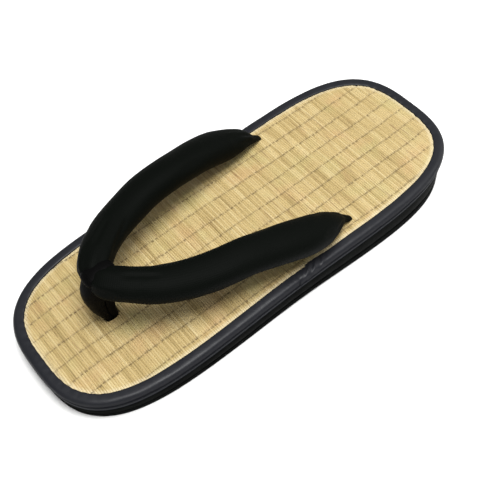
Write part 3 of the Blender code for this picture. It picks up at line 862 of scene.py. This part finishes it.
def strapForm(side):
    # one strap as a closed tube, with its pleats where it is gathered at both ends
    plan = strapPads
    stations = strapStations()
    middles = [Vector((x, y, rise + deckHeight(x))) for x, y, rise, *_ in stations]
    rings = []
    alongs = [0.0]
    for k in range(1, len(middles)):
        alongs.append(alongs[-1] + (middles[k] - middles[k - 1]).length)
    for k, (x, y, rise, width, thick, tilt, run) in enumerate(stations):
        ahead = (middles[min(k + 1, len(middles) - 1)] - middles[max(k - 1, 0)]).normalized()
        heading = Vector((ahead.x + 0.25 * abs(ahead.z), ahead.y, 0)).normalized()
        across = Vector((-heading.y, heading.x, 0))
        across = (across - ahead * across.dot(ahead)).normalized()
        up = ahead.cross(across)
        if up.z < 0:
            up = -up
        leaning = across * math.cos(tilt) - up * math.sin(tilt)
        standing = up * math.cos(tilt) + across * math.sin(tilt)
        slim = plan["slimmer"] * smoothStep(0.05, 0.2, run) * (1 - smoothStep(0.93, 0.99, run))
        ring = []
        for i in range(plan["sides"]):
            angle = 2 * math.pi * i / plan["sides"]
            pleat = 0.05 * smoothStep(0.90, 0.96, run) * math.cos(7 * angle + 0.6)
            gathered = 0.07 * smoothStep(0.005, 0.04, run) * (1 - smoothStep(0.07, 0.17, run))
            pleat += gathered * math.cos(6 * angle + 1.1 * side)
            aside = (width / 2 - slim) * (1 + pleat) * signedPower(math.cos(angle), 2 / plan["power"])
            above = (thick / 2 - slim) * (1 + pleat) * signedPower(math.sin(angle), 2 / plan["power"])
            p = middles[k] + leaning * aside + standing * above
            ring.append((p.x, side * p.y, p.z))
        rings.append(ring)
    return rings, alongs, [s[6] for s in stations]


def puffUp(piece, held, plan):
    # lets the cloth cover swell over its foam for twenty frames, then keeps the result
    group = piece.vertex_groups.new(name="held")
    for index, weight in held:
        group.add([index], weight, "REPLACE")
    start = [v.co.copy() for v in piece.data.vertices]
    cloth = piece.modifiers.new("cover", "CLOTH")
    rules = cloth.settings
    rules.quality = 6
    rules.mass = 0.0006
    rules.tension_stiffness = 9
    rules.compression_stiffness = 9
    rules.shear_stiffness = 4
    rules.bending_stiffness = 0.2
    rules.vertex_group_mass = "held"
    rules.use_pressure = True
    rules.uniform_pressure_force = plan["pressure"]
    rules.effector_weights.gravity = 0
    cloth.collision_settings.use_collision = False
    cloth.collision_settings.use_self_collision = False
    cloth.point_cache.frame_start = 1
    cloth.point_cache.frame_end = 20
    for moment in range(1, 21):
        scene.frame_set(moment)
    swollen = piece.evaluated_get(bpy.context.evaluated_depsgraph_get()).data
    ends = [v.co.copy() for v in swollen.vertices]
    piece.modifiers.remove(cloth)
    scene.frame_set(1)
    largest = 0.0
    for vertex, before, after in zip(piece.data.vertices, start, ends):
        move = after - before
        largest = max(largest, move.length)
        if move.length > plan["moveCap"]:
            move *= plan["moveCap"] / move.length
        vertex.co = before + move
    piece.vertex_groups.clear()
    print("cover swelled by at most", round(largest * 1000, 2), "mm before the cap")


def pressCreases(piece, creases):
    # each crease is a soft trough along a line on the cover, with a low ridge beside it
    normals = [v.normal.copy() for v in piece.data.vertices]
    for vertex, normal in zip(piece.data.vertices, normals):
        move = 0.0
        for start, end, width, depth in creases:
            for side in (1, -1):
                a = Vector((start[0], side * start[1], start[2]))
                b = Vector((end[0], side * end[1], end[2]))
                line = b - a
                share = (vertex.co - a).dot(line) / line.length_squared
                fade = smoothStep(-0.1, 0.25, share) * (1 - smoothStep(0.75, 1.1, share))
                if fade <= 0:
                    continue
                away = vertex.co - (a + line * share)
                flat = away - normal * away.dot(normal)
                if abs(away.dot(normal)) < 0.006:
                    sideways = line.normalized().cross(normal).dot(flat)
                    move += fade * depth * (0.6 * bell(sideways - 1.9 * width, width) - bell(sideways, width))
        vertex.co += normal * move


def addClothMap(piece, uvOfCorner):
    layer = piece.data.uv_layers.new(name="clothMap")
    for loop in piece.data.loops:
        layer.data[loop.index].uv = uvOfCorner(loop.vertex_index)


def makeStraps():
    plan = strapPads
    points = []
    faces = []
    held = []
    maps = []
    for side in (1, -1):
        rings, alongs, runs = strapForm(side)
        base = len(points)
        count = plan["sides"]
        for k, ring in enumerate(rings):
            tied = 1.0 if runs[k] < 0.10 or runs[k] > 0.95 else 0.0
            for i, p in enumerate(ring):
                if tied:
                    held.append((len(points), tied))
                points.append(p)
                maps.append((i / count * 0.052, alongs[k]))
        for level in range(len(rings) - 1):
            for i in range(count):
                j = (i + 1) % count
                low = base + level * count
                faces.append((low + i, low + j, low + count + j, low + count + i))
        faces.append(tuple(base + i for i in range(count)))
        faces.append(tuple(base + (len(rings) - 1) * count + i for i in range(count)))
    piece = makePiece("paddedStraps", points, faces, 80)
    addClothMap(piece, lambda index: maps[index])
    puffUp(piece, held, plan)
    soften = piece.modifiers.new("soften", "SUBSURF")
    soften.levels = 1
    soften.render_levels = 1
    piece.data = shapedMesh(piece)
    piece.modifiers.clear()
    pressCreases(piece, plan["creases"])
    piece.data.materials.clear()
    velour = stretchClothFinish("knittedStretchVelour", "#050705", "#8A938E", 0.006, 0.62, 0.9)
    piece.data.materials.append(velour)
    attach(piece, "root")
    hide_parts("straps")
    print("straps:", len(piece.data.polygons), "faces")


makeStraps()


# front thong

thongBand = {
    "x": 0.0810, "width": 0.0090, "thick": 0.0036, "slit": 0.0005, "power": 2.6, "overlap": 0.0005,
    "bulge": 0.0020, "facing": 6.0, "eyeSink": 0.0034, "eyeShift": 0.0016,
    "eyeBack": 0.0022, "eyeHalfLength": 0.0056, "eyeHalfHeight": 0.0038, "sides": 26, "steps": 6,
    # height, toe and heel strand, width and thickness as shares
    "strands": ((0.05, 0.57, -0.57, 0.90, 1.00), (0.20, 1.16, -0.39, 0.98, 1.40),
                (0.42, 1.50, -0.40, 1.04, 1.74), (0.64, 1.70, -1.10, 1.06, 1.86),
                (0.80, 1.68, -1.68, 1.02, 1.66)),
}


def makeThong():
    plan = thongBand
    gap = sandal["gap"]
    apart = (plan["thick"] + plan["slit"]) / 2
    foot = gap + plan["thick"] / 2 - sandal["matThick"] - sandal["insoleThick"]
    eyeHeight = 2 * gap + strapPads["thick"] / 2 + strapPads["lift"]
    eyeX = plan["x"] - plan["eyeBack"]
    narrow = 0.9 * plan["width"]

    def strand(height, shift, wide, thick):
        return (plan["x"] + shift * plan["thick"], height * eyeHeight, wide * plan["width"],
                thick * plan["thick"])

    rows = [(plan["x"], foot, narrow, plan["thick"])]
    rows.append((plan["x"] + apart, foot + apart, narrow, plan["thick"]))
    for height, toe, heel, wide, thick in plan["strands"]:
        rows.append(strand(height, toe, wide, thick))
    for degrees in range(-20, 201, 20):
        turn = math.radians(degrees)
        lean = smoothStep(40, 150, degrees)
        x = eyeX + (plan["eyeHalfLength"] + plan["thick"] / 2) * math.cos(turn)
        height = eyeHeight + (plan["eyeHalfHeight"] + plan["thick"] / 2) * math.sin(turn)
        height -= plan["eyeSink"] * max(0.0, math.sin(turn))
        x += plan["eyeShift"] * max(0.0, -math.cos(turn))
        rows.append((x, height, plan["width"] * (1 - 0.45 * lean), plan["thick"] * (1 - 0.25 * lean)))
    for height, toe, heel, wide, thick in reversed(plan["strands"]):
        rows.append(strand(height, heel, wide, thick))
    rows.append((plan["x"] - apart, foot + apart, narrow, plan["thick"]))
    eased = smoothRows([rows[-1]] + rows + rows[:2], plan["steps"])[plan["steps"]:-1 - plan["steps"]]
    middles = [Vector((x, 0, height + deckHeight(x))) for x, height, *_ in eased]
    rings = []
    along = 0.0
    maps = []
    for k, (x, height, width, thick) in enumerate(eased):
        ahead = (middles[(k + 1) % len(middles)] - middles[k - 1]).normalized()
        along += (middles[k] - middles[k - 1]).length if k else 0
        out = Vector((ahead.z, 0, -ahead.x))
        ring = []
        for i in range(plan["sides"]):
            angle = 2 * math.pi * i / plan["sides"]
            # length-wise folds in the gathered band, strongest below the eye
            below = 1 - smoothStep(0.022, 0.034, height)
            fold = 0.00022 * (0.4 + below) * math.sin(3 * angle + 0.8 + along * 90)
            fold += 0.00012 * noise.noise(Vector((along * 260, math.cos(angle) * 1.5, math.sin(angle) * 1.5)))
            filled = smoothStep(0.014, 0.022, height) * (1 - smoothStep(0.026, 0.030, height))
            inside = plan["overlap"] * below + plan["bulge"] * filled if math.sin(angle) < 0 else 0.0
            # the strands' facing sides are nearly flat, so that they close to one mass
            power = plan["power"] + plan["facing"] * below * smoothStep(0.0, 0.5, -math.sin(angle))
            p = middles[k] + out * ((thick / 2 + fold + inside) * signedPower(math.sin(angle), 2 / power))
            p.y += (width / 2 + fold) * signedPower(math.cos(angle), 2 / power)
            ring.append(p)
            maps.append((i / plan["sides"] * 0.024, along))
        rings.append(ring)
    piece = loftRings("thongBand", rings, closed=True, sharpDegrees=80)
    addClothMap(piece, lambda index: maps[index])
    velvet = stretchClothFinish("foldedCottonVelvet", "#040404", "#6C6F72", 0.004, 0.55, 0.8)
    piece.data.materials.append(velvet)
    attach(piece, "root")
    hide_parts("front_thong")
    print("thong made")


makeThong()


# floor and light

studio = {
    "floorHalf": 2.5, "floorColour": "#F4F4F3",
    # place, aim, size, power, colour
    "lamps": (((0.01, 0.19, 1.10), (0, 0, 0.02), 0.50, 17.0, "#FFFFFF"),
              ((0.42, 0.36, 1.05), (0, 0, 0.02), 0.80, 2.2, "#FFFFFF"),
              ((-0.80, 0.20, 0.70), (0, 0, 0.02), 0.80, 3.8, "#FFFFFF")),
    "worldColour": "#FFFFFF", "worldStrength": 0.27,
}


def makeStudio():
    half = studio["floorHalf"]
    floor = makePiece("floor", [(-half, -half, 0), (half, -half, 0), (half, half, 0), (-half, half, 0)],
                      [(0, 1, 2, 3)])
    finish, tree, shader = newFinish("paleStudioPaper")
    setInputs(shader, {"Base Color": linear(studio["floorColour"]), "Roughness": 0.9,
                       "Specular IOR Level": 0.1})
    floor.data.materials.append(finish)
    for k, (place, aim, size, power, colour) in enumerate(studio["lamps"]):
        lamp = bpy.data.lights.new("softbox%d" % k, "AREA")
        lamp.size = size
        lamp.energy = power
        lamp.color = linear(colour)[:3]
        holder = bpy.data.objects.new(lamp.name, lamp)
        holder.location = place
        holder.rotation_euler = (Vector(aim) - Vector(place)).to_track_quat("-Z", "Y").to_euler()
        scene.collection.objects.link(holder)
    world = bpy.data.worlds.new("studioAir")
    world.use_nodes = True
    air = world.node_tree.nodes["Background"]
    air.inputs["Color"].default_value = linear(studio["worldColour"])
    air.inputs["Strength"].default_value = studio["worldStrength"]
    scene.world = world
    print("studio lit")


makeStudio()
